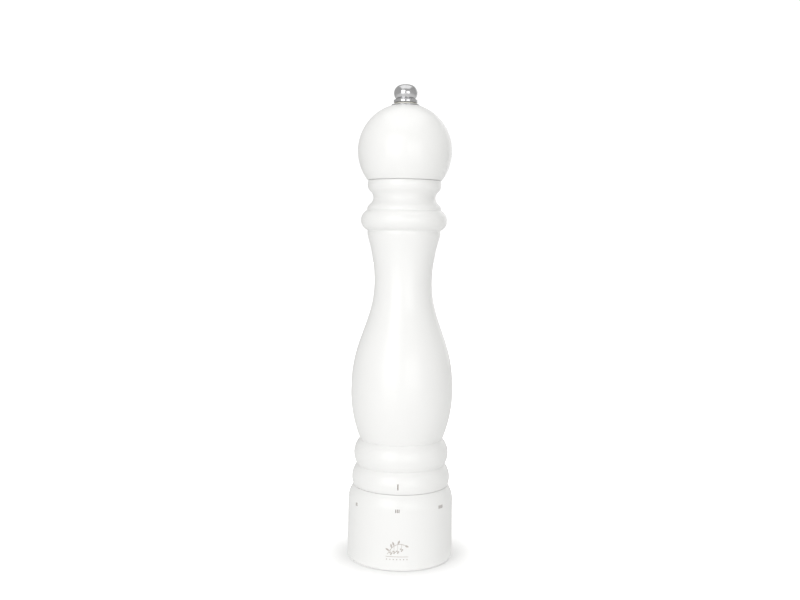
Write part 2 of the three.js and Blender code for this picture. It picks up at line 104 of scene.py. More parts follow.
# ---- Camera ----
def add_camera():
    """A camera nearly square to the index mark, a little above the mill's middle and tilted down."""
    data = bpy.data.cameras.new("camera")
    data.lens = 43.1
    data.sensor_width = 36
    camera = bpy.data.objects.new("camera", data)
    bpy.context.scene.collection.objects.link(camera)
    azimuth, tilt, roll = (math.radians(angle) for angle in (3.0, 90 - 4.05, 0.78))
    place = Matrix.Translation((-0.0019, -0.6069, 0.2078))
    aim = Matrix.Rotation(tilt, 4, "X") @ Matrix.Rotation(roll, 4, "Z")
    camera.matrix_world = Matrix.Rotation(azimuth, 4, "Z") @ place @ aim
    bpy.context.scene.camera = camera


# ---- Outlines: lists of (radius, height) ----
def arc_points(radius, start, end, steps, x=0.0, y=0.0):
    """Points on a circle from one angle to another."""
    angles = [start + (end - start) * i / steps for i in range(steps + 1)]
    return [(x + radius * math.cos(a), y + radius * math.sin(a)) for a in angles]


def circle(radius, sides, x=0.0, y=0.0, start=0.0):
    return arc_points(radius, start, start + TAU * (1 - 1 / sides), sides - 1, x, y)


def arc(start, via, end, steps):
    """The circular arc from one point to another through a third, as steps + 1 points."""
    a, b, c = (complex(*point) for point in (start, via, end))
    skew = (c - a) / (b - a)
    centre = a + (b - a) * (skew - abs(skew) ** 2) / (2j * skew.imag)
    first, middle, last = (cmath.phase(point - centre) for point in (a, b, c))
    sweep = (last - first) % TAU
    if (middle - first) % TAU > sweep:
        sweep -= TAU
    return arc_points(abs(a - centre), first, first + sweep, steps, centre.real, centre.imag)


def bezier(p0, p1, p2, p3, steps):
    """A cubic curve from p0 to p3."""
    points = []
    for i in range(steps + 1):
        t = i / steps
        weights = ((1 - t) ** 3, 3 * t * (1 - t) ** 2, 3 * t * t * (1 - t), t**3)
        points.append(tuple(sum(w * p[k] for w, p in zip(weights, (p0, p1, p2, p3))) for k in (0, 1)))
    return points


def joined(*stretches):
    """Stretches end to end, without a point that repeats the one before it."""
    points = []
    for point in (p for stretch in stretches for p in stretch):
        if not points or math.dist(point, points[-1]) > 1e-4:
            points.append(point)
    return points


def rounded(corners, radius, steps=4, closed=True):
    """An outline whose corners are rounded, by at most 45% of the shorter edge beside each."""
    points = []
    count = len(corners)
    for i, corner in enumerate(corners):
        if not closed and i in (0, count - 1):
            points.append(corner)
            continue
        here = Vector(corner)
        before = Vector(corners[i - 1]) - here
        after = Vector(corners[(i + 1) % count]) - here
        cut = min(radius, 0.45 * before.length, 0.45 * after.length)
        a = here + before.normalized() * cut
        b = here + after.normalized() * cut
        for k in range(steps + 1):
            t = k / steps
            point = a * (1 - t) ** 2 + here * 2 * t * (1 - t) + b * t * t
            points.append((point.x, point.y))
    return points


# ---- Meshes ----
def add_object(name, mesh, material, body=None, node=None):
    """A piece that rides on a body and stands for a CAD node."""
    if material.name not in mesh.materials:
        mesh.materials.append(material)
    piece = bpy.data.objects.new(name, mesh)
    bpy.context.scene.collection.objects.link(piece)
    if body:
        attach(piece, body)
    if node:
        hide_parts(node)
    return piece


def smooth(mesh, angle=32):
    for face in mesh.polygons:
        face.use_smooth = True
    mesh.set_sharp_from_angle(angle=math.radians(angle))
    return mesh


def turned(outline, sides=MEDIUM, bare_from=math.inf, x=0.0, y=0.0, wobble=None):
    """A mesh turned about Z, or about an upright line at x, y. The outline is a closed ring, or starts
    and ends on the axis. Faces after its point `bare_from` take the second material. wobble(radius, z,
    angle) changes radii."""
    count = len(outline)
    on_axis = outline[0][0] < 1e-9 and outline[-1][0] < 1e-9
    area = sum(a[0] * b[1] - b[0] * a[1] for a, b in zip(outline, outline[1:] + outline[:1]))
    made = bmesh.new()
    rows = []
    for r, z in outline:
        row = []
        for k in range(1 if r < 1e-9 else sides):
            a = TAU * k / sides
            across, along = around(wobble(r, z, a) if wobble else r, a)
            row.append(made.verts.new(((x + across) * MM, (y + along) * MM, z * MM)))
        rows.append(row)
    for i in range(count - 1 if on_axis else count):
        low, high = rows[i], rows[(i + 1) % count]
        for k in range(sides):
            m = (k + 1) % sides
            corners = [low[k % len(low)], low[m % len(low)], high[m % len(high)], high[k % len(high)]]
            unique = list(dict.fromkeys(corners))
            face = made.faces.new(unique if area > 0 else unique[::-1])
            face.material_index = int(i >= bare_from)
    return smooth(finished(made, "turned"))


def ring(low, high, inner, outer, edge=0.0, sides=MEDIUM):
    """A plain ring with rounded rims. An inner radius of 0 makes a disc."""
    corners = [(inner, low), (outer, low), (outer, high), (inner, high)]
    return turned(rounded(corners, edge, closed=inner > 0) if edge else corners, sides)


def flanged(low, high, inner, outer, flange_r, thickness, edge):
    """A bush with a flange round its top. An inner radius of 0 leaves it solid."""
    foot = high - thickness
    corners = [(inner, low), (outer, low), (outer, foot), (flange_r, foot), (flange_r, high), (inner, high)]
    return turned(rounded(corners, edge, closed=inner > 0))


def block(low, high, turn=0.0, edge=0.0):
    """A box from its lowest to its highest corner, turned about Z, with its edges rounded."""
    made = bmesh.new()
    bmesh.ops.create_cube(made, size=1)
    size = Vector(high) - Vector(low)
    middle = (Vector(high) + Vector(low)) / 2
    place = Matrix.Rotation(turn, 4, "Z") @ Matrix.Translation(middle * MM)
    bmesh.ops.transform(made, matrix=place @ Matrix.Diagonal((*(size * MM), 1)), verts=made.verts)
    if edge:
        bmesh.ops.bevel(made, geom=made.edges[:], offset=edge * MM, segments=3, profile=0.5, affect="EDGES")
    return finished(made, "block")


def skin(made, rows, capped=True):
    """Faces over the ends, and from each row of vertices to the next. A row goes once round."""
    if capped:
        made.faces.new(rows[0][::-1])
        made.faces.new(rows[-1])
    for lower, upper in zip(rows, rows[1:]):
        for i in range(len(lower)):
            k = (i + 1) % len(lower)
            made.faces.new((lower[i], lower[k], upper[k], upper[i]))


def finished(made, name):
    mesh = bpy.data.meshes.new(name)
    made.to_mesh(mesh)
    made.free()
    return mesh


def rod(radius, inner, outer, z, angle):
    """A cylinder lying along a radius at an angle from +X."""
    made = bmesh.new()
    r, depth = radius * MM, (outer - inner) * MM
    bmesh.ops.create_cone(made, cap_ends=True, segments=32, radius1=r, radius2=r, depth=depth)
    place = Matrix.Rotation(angle, 4, "Z") @ Matrix.Translation(((inner + outer) / 2 * MM, 0, z * MM))
    bmesh.ops.transform(made, matrix=place @ Matrix.Rotation(math.pi / 2, 4, "Y"), verts=made.verts)
    return finished(made, "rod")


def inset(points, distance):
    """A counterclockwise outline drawn in by a distance."""
    moved = []
    for i, point in enumerate(points):
        here = Vector(point)
        before = (here - Vector(points[i - 1])).normalized()
        after = (Vector(points[(i + 1) % len(points)]) - here).normalized()
        in_before, in_after = Vector((-before.y, before.x)), Vector((-after.y, after.x))
        shift = (in_before + in_after) / (1 + max(in_before.dot(in_after), -0.5))
        moved.append(tuple(here + shift * distance))
    return moved


def extruded(points, low, high, edge=0.0):
    """A flat outline of (x, y) points, counterclockwise, raised from one height to another, with
    its rims chamfered."""
    made = bmesh.new()
    levels = [(points, low), (points, high)]
    if edge:
        small = inset(points, edge)
        levels = [(small, low), (points, low + edge), (points, high - edge), (small, high)]
    rows = [[made.verts.new((x * MM, y * MM, z * MM)) for x, y in outline] for outline, z in levels]
    skin(made, rows)
    return finished(made, "extruded")


def sector(inner, outer, low, high, middle, spread, edge):
    """Part of a ring, centred on an angle measured from +X."""
    start, end = middle - spread / 2, middle + spread / 2
    points = arc_points(outer, start, end, 24) + arc_points(inner, end, start, 24)
    return extruded(points, low, high, edge)


def pin(radius, low, high, x=0.0, y=0.0, sides=32):
    """An upright cylinder, used to cut round holes."""
    start = 0.07  # keeps its corners off the edges of what it cuts
    return extruded(circle(radius, sides, x, y, start), low, high)


def square_bar(width, low, high, corner, edge=0.0):
    """An upright square bar on the axis, with rounded corners."""
    h = width / 2
    corners = [(-h, -h), (h, -h), (h, h), (-h, h)]
    return extruded(rounded(corners, corner), low, high, edge)


def at_arms(low, high, edge=0.0):
    """A block for each arm of the carrier, placed as for the angle 0 and then turned to its arm."""
    return [block(low, high, angle, edge) for angle in ARM_ANGLES]


# One tooth, as (share of the pitch, share of the depth): a land, a steep face and a hollow back.
TOOTH_FORM = [
    (0.0, 1.0), (0.07, 1.0), (0.2, 0.3), (0.32, 0.0), (0.45, 0.06), (0.62, 0.3), (0.8, 0.64), (0.93, 0.93),
]


def fluted(teeth, root, low, high, radius_at, twist, layers):
    """A cone with teeth that wind round it. radius_at gives the tips' radius from 0 at the bottom to
    1 at the top, and a tooth's root is that radius times `root`."""
    made = bmesh.new()
    rows = []
    for j in range(layers + 1):
        share = j / layers
        row = []
        for tooth in range(teeth):
            for phase, depth in TOOTH_FORM:
                a = TAU * (tooth + phase) / teeth + twist * share
                r = radius_at(share) * (root + (1 - root) * depth)
                row.append(made.verts.new(Vector((*around(r, a), mix(low, high, share))) * MM))
        rows.append(row)
    skin(made, rows)
    return finished(made, "fluted")


def wire(points, radius, sides=12):
    """A round wire along a list of points, with domed ends."""
    path = [Vector(p) for p in points]
    made = bmesh.new()
    rows = []
    side = (path[1] - path[0]).normalized().orthogonal()
    turns = [TAU * k / sides for k in range(sides)]
    for i, point in enumerate(path):
        ahead = (path[min(i + 1, len(path) - 1)] - path[max(i - 1, 0)]).normalized()
        side = (side - ahead * side.dot(ahead)).normalized()
        across = ahead.cross(side)
        spots = [point + (side * math.cos(a) + across * math.sin(a)) * radius for a in turns]
        rows.append([made.verts.new(spot * MM) for spot in spots])
    skin(made, rows, capped=False)
    for row, outward in ((rows[0], path[0] - path[1]), (rows[-1], path[-1] - path[-2])):
        middle = sum((v.co for v in row), Vector()) / sides
        dome = made.verts.new(middle + outward.normalized() * radius * 0.5 * MM)
        for k in range(sides):
            made.faces.new((row[k], row[(k + 1) % sides], dome))
    bmesh.ops.recalc_face_normals(made, faces=made.faces)
    return smooth(finished(made, "wire"), 50)


def carved(base, add=(), cut=()):
    """base joined with some meshes and cut by others. Cut faces take base's second material, if it
    has one."""
    scene = bpy.context.scene.collection
    piece = bpy.data.objects.new("carved", base)
    scene.objects.link(piece)
    helpers = []
    for mesh, operation in [(m, "UNION") for m in add] + [(m, "DIFFERENCE") for m in cut]:
        if operation == "DIFFERENCE" and len(base.materials) > 1:
            for face in mesh.polygons:
                face.material_index = 1
        helper = bpy.data.objects.new("tool", mesh)
        scene.objects.link(helper)
        helpers.append(helper)
        boolean = piece.modifiers.new("boolean", "BOOLEAN")
        boolean.operation = operation
        boolean.solver = "EXACT"
        boolean.object = helper
    bpy.context.view_layer.update()
    graph = bpy.context.evaluated_depsgraph_get()
    mesh = bpy.data.meshes.new_from_object(piece.evaluated_get(graph))
    for helper in [piece, *helpers]:
        bpy.data.objects.remove(helper)
    return smooth(mesh, 34)


def thread(surface, low, high, depth, lead, starts=1, hand=1):
    """A wobble for turned() that cuts a thread between two heights, where the radius is `surface`."""

    def radius(r, z, a):
        if not low < z < high or abs(r - surface) > 0.01:
            return r
        phase = starts * (z / lead - hand * a / TAU)
        ease = min(1.0, (z - low) / 0.5, (high - z) / 0.5)
        return r - depth * ease * abs(2 * (phase % 1) - 1)

    return radius


def upright(r, low, high):
    """A straight stretch of outline with enough points for a thread."""
    count = max(1, round(abs(high - low) / 0.125))
    return [(r, low + (high - low) * i / count) for i in range(count + 1)]


class Surface:
    """Builds a node material: a Principled shader, object coordinates and short helpers for textures."""

    def __init__(self, name, color, roughness, metallic=0.0, slot=None, **sockets):
        self.material = bpy.data.materials.new(name)
        self.material.use_nodes = True
        self.nodes = self.material.node_tree.nodes
        self.links = self.material.node_tree.links
        self.shader = self.nodes["Principled BSDF"]
        sockets |= {"Base_Color": (*color, 1), "Roughness": roughness, "Metallic": metallic}
        for socket, value in sockets.items():
            self.shader.inputs[socket.replace("_", " ")].default_value = value
        self.place = self.nodes.new("ShaderNodeTexCoord").outputs["Object"]

    def add(self, kind, inputs=None, **settings):
        node = self.nodes.new(kind)
        for key, value in settings.items():
            setattr(node, key, value)
        for socket, value in (inputs or {}).items():
            if isinstance(value, bpy.types.NodeSocket):
                self.links.new(value, node.inputs[socket])
            else:
                node.inputs[socket].default_value = value
        return node

    def math(self, operation, a, b=0.0):
        return self.add("ShaderNodeMath", {0: a, 1: b}, operation=operation).outputs[0]

    def stretched(self, scale):
        return self.add("ShaderNodeMapping", {"Vector": self.place, "Scale": scale}).outputs[0]

    def noise(self, scale, detail=3.0, vector=None):
        inputs = {"Vector": self.place if vector is None else vector, "Scale": scale, "Detail": detail}
        return self.add("ShaderNodeTexNoise", inputs).outputs["Fac"]

    def span(self, value, low, high, to_low=0.0, to_high=1.0):
        """value mapped from one range to another, with its ends held."""
        inputs = {"Value": value, 1: low, 2: high, 3: to_low, 4: to_high}
        return self.add("ShaderNodeMapRange", inputs).outputs[0]

    def blend(self, factor, first, second):
        """The first color where factor is 0, the second where it is 1. The first may be an output."""
        if not isinstance(first, bpy.types.NodeSocket):
            first = (*first, 1)
        inputs = {0: factor, 6: first, 7: (*second, 1)}
        return self.add("ShaderNodeMix", inputs, data_type="RGBA").outputs[2]

    def along(self, axis):
        """The place along X, Y or Z, as 0, 1 or 2."""
        return self.add("ShaderNodeSeparateXYZ", {0: self.place}).outputs[axis]

    def radius(self):
        squares = [self.math("POWER", self.along(axis), 2) for axis in (0, 1)]
        return self.math("SQRT", self.math("ADD", *squares))

    def color(self, output):
        self.links.new(output, self.shader.inputs["Base Color"])

    def rough(self, value, low, high):
        """Roughness from low where value is 0 to high where it is 1. Gloss blotches where roughness
        passes about 0.27, so each range stays on one side of that."""
        self.links.new(self.span(value, 0.0, 1.0, low, high), self.shader.inputs["Roughness"])

    def bump(self, *layers):
        """Layers of (height, strength, distance in metres), each on top of the one before."""
        inputs = {}
        for height, strength, distance in layers:
            inputs |= {"Height": height, "Strength": strength, "Distance": distance}
            inputs["Normal"] = self.add("ShaderNodeBump", inputs).outputs[0]
        self.links.new(inputs["Normal"], self.shader.inputs["Normal"])


def lacquer():
    """White satin lacquer on turned beech: the grain and the lathe's rings barely tell through it."""
    s = Surface("white_lacquer", (0.86, 0.86, 0.85), 0.3, Coat_Weight=0.35, Coat_Roughness=0.12)
    grain = s.noise(1.0, 4.0, s.stretched((900, 900, 45)))
    cloud = s.noise(28.0, 2.0)
    tint = s.blend(cloud, (0.866, 0.866, 0.856), (0.892, 0.892, 0.886))
    s.color(s.blend(s.math("MULTIPLY", grain, 0.28), tint, (0.845, 0.843, 0.83)))
    s.rough(s.noise(70.0), 0.29, 0.42)
    peel = s.noise(650.0, 2.0)
    rings = s.noise(1.0, 2.0, s.stretched((30, 30, 1500)))
    s.bump((grain, 0.07, 0.00003), (rings, 0.06, 0.00003), (peel, 0.10, 0.00005))
    return s.material


def beech():
    """Bare steamed beech: long grain, short dark flecks and growth rings."""
    s = Surface("bare_beech", (0.62, 0.43, 0.27), 0.6)
    grain = s.noise(1.0, 5.0, s.stretched((700, 700, 22)))
    flecks = s.noise(1.0, 2.0, s.stretched((1500, 1500, 240)))
    waves = {"Scale": 38.0, "Distortion": 5.0, "Detail": 3.0, "Detail Scale": 1.5}
    growth = s.add("ShaderNodeTexWave", {"Vector": s.stretched((1, 1, 0.12)), **waves}).outputs["Fac"]
    wood = s.blend(s.span(grain, 0.3, 0.7), (0.66, 0.46, 0.29), (0.50, 0.32, 0.18))
    wood = s.blend(s.span(growth, 0.2, 0.9, 0.0, 0.35), wood, (0.43, 0.26, 0.14))
    s.color(s.blend(s.span(flecks, 0.66, 0.74, 0.0, 0.8), wood, (0.26, 0.14, 0.07)))
    s.rough(grain, 0.52, 0.68)
    s.bump((grain, 0.35, 0.0001), (flecks, 0.3, 0.0001))
    return s.material


def plastic(name, color, shade, roughness):
    """Moulded plastic with a fine spark-eroded texture, a little dust and uneven sheen."""
    s = Surface(name, color, roughness)
    s.color(s.blend(s.span(s.noise(60.0), 0.4, 0.7), color, shade))
    s.rough(s.noise(240.0), roughness - 0.07, roughness + 0.09)
    s.bump((s.noise(2600.0, 2.0), 0.12, 0.00005))
    return s.material


def turned_metal(name, color, shade, low, high):
    """Metal with fine concentric tool marks, faint smears and uneven polish."""
    s = Surface(name, color, (low + high) / 2, 1.0)
    outward, upward = (s.math("MULTIPLY", place, 2600.0) for place in (s.radius(), s.along(2)))
    rings = s.noise(1.0, 3.0, s.add("ShaderNodeCombineXYZ", {0: outward, 2: upward}).outputs[0])
    smears = s.noise(160.0, 4.0)
    s.color(s.blend(s.span(smears, 0.35, 0.7), color, shade))
    polish = s.math("ADD", s.math("MULTIPLY", rings, 0.5), s.math("MULTIPLY", smears, 0.5))
    s.rough(polish, low, high)
    s.bump((rings, 0.10, 0.00003))
    return s.material


def ink(name, color, thin_color):
    """Warm grey-brown pad print, slightly thin in places."""
    s = Surface(name, color, 0.45, slot="black_plastic")
    s.color(s.blend(s.span(s.noise(1500.0), 0.45, 0.75, 0.0, 0.35), color, thin_color))
    s.rough(s.noise(900.0, 2.0), 0.4, 0.55)
    return s.material


LACQUER = lacquer()
BEECH = beech()
WHITE_PLASTIC = plastic("white_plastic", (0.74, 0.74, 0.72), (0.68, 0.68, 0.65), 0.42)
BLACK_PLASTIC = plastic("black_plastic", (0.025, 0.025, 0.027), (0.05, 0.05, 0.052), 0.45)
NYLON = plastic("nylon", (0.78, 0.76, 0.68), (0.70, 0.67, 0.58), 0.48)
STAINLESS = turned_metal("stainless", (0.62, 0.62, 0.63), (0.52, 0.52, 0.53), 0.10, 0.26)
BURR_STEEL = turned_metal("burr_steel", (0.30, 0.30, 0.31), (0.22, 0.22, 0.23), 0.30, 0.48)
SPRING_STEEL = turned_metal("spring_steel", (0.50, 0.50, 0.52), (0.38, 0.38, 0.40), 0.28, 0.44)
BRASS = turned_metal("brass", (0.72, 0.51, 0.20), (0.60, 0.40, 0.15), 0.28, 0.44)
INK = ink("grey_ink", (0.25, 0.20, 0.185), (0.55, 0.52, 0.50))
PALE_INK = ink("pale_ink", (0.50, 0.45, 0.42), (0.66, 0.63, 0.60))


# ---- Turned wooden pieces ----
def add_wooden(name, outside, inside, body, node, pilots=()):
    """A turned beech piece, lacquered outside and bare inside, with some pilot holes."""
    mesh = turned(outside + inside, FINE, bare_from=len(outside) - 1)
    mesh.materials.append(LACQUER)
    mesh.materials.append(BEECH)
    if pilots:
        mesh = carved(mesh, cut=pilots)
    add_object(name, mesh, LACQUER, body, node)


SOCKET_R = 18.9
SOCKET_TOP = 58.3
LOWER_GROOVE = (28.1, 60.3)
UPPER_GROOVE = (26.45, 76.5)
BELLY = (32.3, 110.0)
WAIST = (18.3, 176.5)


def lower_bead():
    return arc((30.45, BODY_FOOT + 0.15), (31.25, 52.5), LOWER_GROOVE, 20)


def add_body():
    upper_bead = arc(LOWER_GROOVE, (30.1, 68.1), UPPER_GROOVE, 24)
    belly = arc(UPPER_GROOVE, (30.3, 88.5), BELLY, 24)
    sweep = bezier(BELLY, (BELLY[0], BELLY[1] + 29.5), (WAIST[0], WAIST[1] - 25.5), WAIST, 40)
    neck = arc(WAIST, (19.25, 189.5), (22.8, 205.2), 20)
    lip = [(23.05, 206.6), (23.1, 207.4), (22.95, 208.1), (22.9, 208.4)]
    neck_bead = arc((23.2, 209.0), (27.2, 215.6), (23.9, 221.2), 26)
    step = [(23.35, 221.55), (23.25, 223.2), (23.05, 223.75), (22.6, 224.3)]
    cove = arc((21.4, 225.6), (19.6, 229.3), (21.3, 233.1), 16)
    collar = arc((22.3, 234.2), (23.15, 236.9), (22.95, 239.3), 12)
    outside = joined(
        [(SOCKET_R + 0.5, BODY_FOOT), (30.2, BODY_FOOT), (30.38, BODY_FOOT + 0.05)],
        lower_bead(), upper_bead, belly, sweep, neck, lip, neck_bead, step, cove, collar,
        [(22.85, BODY_TOP - 0.15), (22.65, BODY_TOP), (CHAMBER_R + 1.0, BODY_TOP)],
    )
    inside = [
        (CHAMBER_R + 0.9, BODY_TOP), (CHAMBER_R + 0.35, BODY_TOP - 0.2), (CHAMBER_R, BODY_TOP - 0.8),
        (CHAMBER_R, SOCKET_TOP + 0.4), (CHAMBER_R + 0.4, SOCKET_TOP), (SOCKET_R, SOCKET_TOP),
        (SOCKET_R, BODY_FOOT + 0.4), (SOCKET_R + 0.4, BODY_FOOT),
    ]
    pilots = [pin(1.6, BODY_FOOT - 1, 56.5, *around(SCREW_CIRCLE, a)) for a in SCREW_ANGLES]
    add_wooden("body_turning", outside, inside, "mill_body", "body_shell", pilots)


BALL_R = outer_radius("head_shell")
BALL_Z = 258.5
BALL_NECK_R = 23.5
CAP_R = 10.1  # of the small flat on top of the ball
TENON_R = CHAMBER_R - 0.4
HEAD_BORE_R = 4.6
FERRULE_BORE_R = 4.0
FERRULE_FOOT = heights("head_ferrule")[0]


def add_head():
    tenon_foot, crown = heights("head_shell")
    rim = BODY_TOP + HEAD_SEAM
    ball_foot = BALL_Z - math.sqrt(BALL_R**2 - BALL_NECK_R**2)
    ball_top = BALL_Z + math.sqrt(BALL_R**2 - CAP_R**2)
    outside = joined(
        [(TENON_R + 0.1, rim), (22.9, rim), (23.1, rim + 0.1)],
        arc((BALL_NECK_R, ball_foot), (BALL_R, BALL_Z), (CAP_R, ball_top), 64),
        [(9.8, crown - 0.04), (9.4, crown), (6.6, crown)],
    )
    inside = [
        (6.5, crown), (6.5, FERRULE_FOOT - 0.3), (HEAD_BORE_R, FERRULE_FOOT - 0.3),
        (HEAD_BORE_R, tenon_foot + 0.3), (HEAD_BORE_R + 0.3, tenon_foot),
        (TENON_R - 0.8, tenon_foot), (TENON_R - 0.2, tenon_foot + 0.25),
        (TENON_R, tenon_foot + 0.9), (TENON_R, rim),
    ]
    pilots = [pin(1.3, tenon_foot - 1, 239.0, side * PLATE_SCREW_R) for side in (1, -1)]
    add_wooden("head_turning", outside, inside, "head", "head_shell", pilots)


RING_BORE = 29.0
FOOT_EDGE = 2.6  # height of the rounding round the ring's foot


def ring_shoulder():
    return arc((RING_R, 37.4), (32.9, 41.6), (30.7, 46.1), 24)


def add_grind_ring():
    outside = joined(
        [(RING_BORE + 0.45, 0.12), (RING_BORE + 0.9, 0.0)],
        arc((RING_R - FOOT_EDGE, 0), (RING_R - 0.62, 0.75), (RING_R, FOOT_EDGE), 12),
        ring_shoulder(),
        [(30.5, RING_TOP - 0.2), (30.38, RING_TOP - 0.05), (30.2, RING_TOP), (RING_BORE + 0.1, RING_TOP)],
    )
    inside = [(RING_BORE, RING_TOP), (RING_BORE, 0.6), (RING_BORE + 0.12, 0.3)]
    add_wooden("grind_ring_turning", outside, inside, "grind_ring", "grind_ring_shell")


# ---- Printed marks ----
INK_THICKNESS = 0.03
INK_FACET = 0.5  # longest stretch of ink that is left flat


def facets(points):
    """A flat outline filled and split into pieces small enough to wrap round a curve."""
    flat = bmesh.new()
    flat.faces.new([flat.verts.new((*point, 0)) for point in points])
    flat.normal_update()
    bmesh.ops.triangulate(flat, faces=flat.faces[:])
    for axis in (0, 1):
        low, high = min(p[axis] for p in points), max(p[axis] for p in points)
        normal = Vector((axis == 0, axis == 1, 0))
        for i in range(1, math.ceil((high - low) / INK_FACET)):
            geometry = flat.verts[:] + flat.edges[:] + flat.faces[:]
            place = normal * (low + i * INK_FACET)
            bmesh.ops.bisect_plane(flat, geom=geometry, plane_co=place, plane_no=normal)
    bmesh.ops.dissolve_degenerate(flat, dist=0.005, edges=flat.edges[:])
    return flat


def print_on(shapes, radius_at):
    """Flat outlines of (across, height) points in millimetres, laid round the axis as thin ink.
    radius_at(z) is the printed surface's radius."""
    made = bmesh.new()
    for points, centre_angle in shapes:
        flat = facets(points)
        layers = []
        for lift in (-INK_THICKNESS, INK_THICKNESS):
            layer = {}
            for vert in flat.verts:
                across, z, _ = vert.co
                r = radius_at(z)
                a = centre_angle + across / r
                layer[vert] = made.verts.new(Vector((*around(r + lift, a), z)) * MM)
            layers.append(layer)
        inner, outer = layers
        for face in flat.faces:
            made.faces.new([outer[v] for v in face.verts])
            made.faces.new([inner[v] for v in reversed(face.verts)])
        for edge in flat.edges:
            if edge.is_boundary:
                a, b = edge.verts
                made.faces.new((outer[a], outer[b], inner[b], inner[a]))
        flat.free()
    bmesh.ops.recalc_face_normals(made, faces=made.faces)
    return finished(made, "print")


def bar(across, z, width, height):
    """An upright bar with softly rounded ends."""
    w, h = width / 2, height / 2
    corners = [(across - w, z - h), (across + w, z - h), (across + w, z + h), (across - w, z + h)]
    return rounded(corners, 0.3 * width, 3)


def radius_on(outline, z):
    """The outline's radius at a height, on its first stretch that passes it."""
    for (r0, z0), (r1, z1) in zip(outline, outline[1:]):
        if min(z0, z1) <= z <= max(z0, z1) and abs(z1 - z0) > 1e-9:
            return r0 + (r1 - r0) * (z - z0) / (z1 - z0)
    return outline[-1][0]


def setting_angles():
    """Where each setting's mark and click groove stand, numbered from 1."""
    for setting in range(1, SETTINGS + 1):
        yield setting, INDEX_ANGLE + (setting - SHOWN_SETTING) * SETTING_STEP


def add_marks():
    """As many short bars as each setting's number, round the ring, and one index bar on the body."""
    bars = []
    for setting, angle in setting_angles():
        pitch = 1.0 if setting < 5 else 0.85
        for i in range(setting):
            bars.append((bar((i - (setting - 1) / 2) * pitch, 38.0, 0.5, 2.1), angle))
    shoulder = [(RING_R, FOOT_EDGE), *ring_shoulder()]
    ring_marks = print_on(bars, lambda z: radius_on(shoulder, z))
    add_object("setting_marks", ring_marks, INK, "grind_ring")
    index_bar = [(bar(0.0, 52.2, 0.62, 3.7), INDEX_ANGLE)]
    bead = lower_bead()
    add_object("index_mark", print_on(index_bar, lambda z: radius_on(bead, z)), INK, "mill_body")


def leaf(x, y, length, width, angle):
    """A pointed leaf that starts at x, y and lies at an angle."""
    cos, sin = around(1, angle)
    points = []
    for i in range(16):
        t = i / 8 if i <= 8 else 2 - i / 8
        along = length * t
        across = math.copysign(width * math.sin(math.pi * t) / 2, 8 - i)
        points.append((x + along * cos - across * sin, y + along * sin + across * cos))
    return points


def strip(points, width):
    """A thin line along some points, as one closed outline."""
    left, right = [], []
    for i, point in enumerate(points):
        ahead = Vector(points[min(i + 1, len(points) - 1)]) - Vector(points[max(i - 1, 0)])
        side = Vector((-ahead.y, ahead.x)).normalized() * width / 2
        left.append((point[0] + side.x, point[1] + side.y))
        right.append((point[0] - side.x, point[1] - side.y))
    return right + left[::-1]


def add_emblem():
    """A small generic sprig of pepper, with hanging berries, over a line and a row of dots."""
    stem = bezier((-5.8, 11.0), (-3.4, 16.2), (0.6, 18.8), (4.7, 16.8), 20)
    shapes = [strip(stem, 0.32), strip([(-7.0, 9.6), (7.0, 9.6)], 0.3)]
    for at, angle in ((3, 150), (6, 100), (9, 110), (13, 65), (20, -25)):
        shapes.append(leaf(*stem[at], 2.9, 1.15, math.radians(angle)))
    for at, drop in ((5, 2.2), (9, 3.4), (13, 4.2), (17, 3.0)):
        x, y = stem[at]
        shapes.append(strip([(x, y), (x, y - drop)], 0.2))
        for across, down in ((-0.55, 0.0), (0.55, 0.35), (0.0, 1.1)):
            shapes.append(circle(0.48, 14, x + across, y - drop - down))
    shapes += [circle(0.36, 14, (i - 3) * 2.1, 7.9) for i in range(7)]
    mesh = print_on([(points, INDEX_ANGLE) for points in shapes], lambda z: RING_R)
    add_object("ring_emblem", mesh, PALE_INK, "grind_ring")


# ---- Top hardware ----
def add_ferrule():
    """The flanged bush in the top of the head."""
    low, high = heights("head_ferrule")
    rim = high - 0.7
    bore = FERRULE_BORE_R
    corners = [(bore, low), (6.3, low), (6.3, rim), (9.0, rim), (8.75, high), (bore, high)]
    add_object("ferrule_turning", turned(rounded(corners, 0.22)), STAINLESS, "head", "head_ferrule")


def add_nut():
    """The finial nut: a threaded blind bore, a skirt with a groove over it, and a ball."""
    low, high = heights("finial_nut")
    bore_r, bore_top = 2.7, low + 4.9
    bore = upright(bore_r, bore_top, low)
    skirt = rounded([(bore_r, low), (7.5, low), (7.5, low + 1.7), (6.0, low + 2.4)], 0.35, closed=False)
    knob = arc((6.0, low + 2.4), (7.4, low + 6.4), (5.2, high - 1.2), 24)
    crown = bezier((5.2, high - 1.2), (4.2, high - 0.5), (2.6, high - 0.02), (0.0, high), 12)
    cut = thread(bore_r, low + 0.2, bore_top - 0.2, 0.25, NUT_PITCH)
    mesh = turned(joined([(0.0, bore_top + 0.8)], bore, skirt, knob, crown), wobble=cut)
    add_object("nut_turning", mesh, STAINLESS, "nut", "finial_nut")
    friction_ring = ring(*heights("nut_friction_ring"), FERRULE_BORE_R, 6.9, 0.2)
    add_object("friction_ring", friction_ring, NYLON, "nut_ring", "nut_friction_ring")


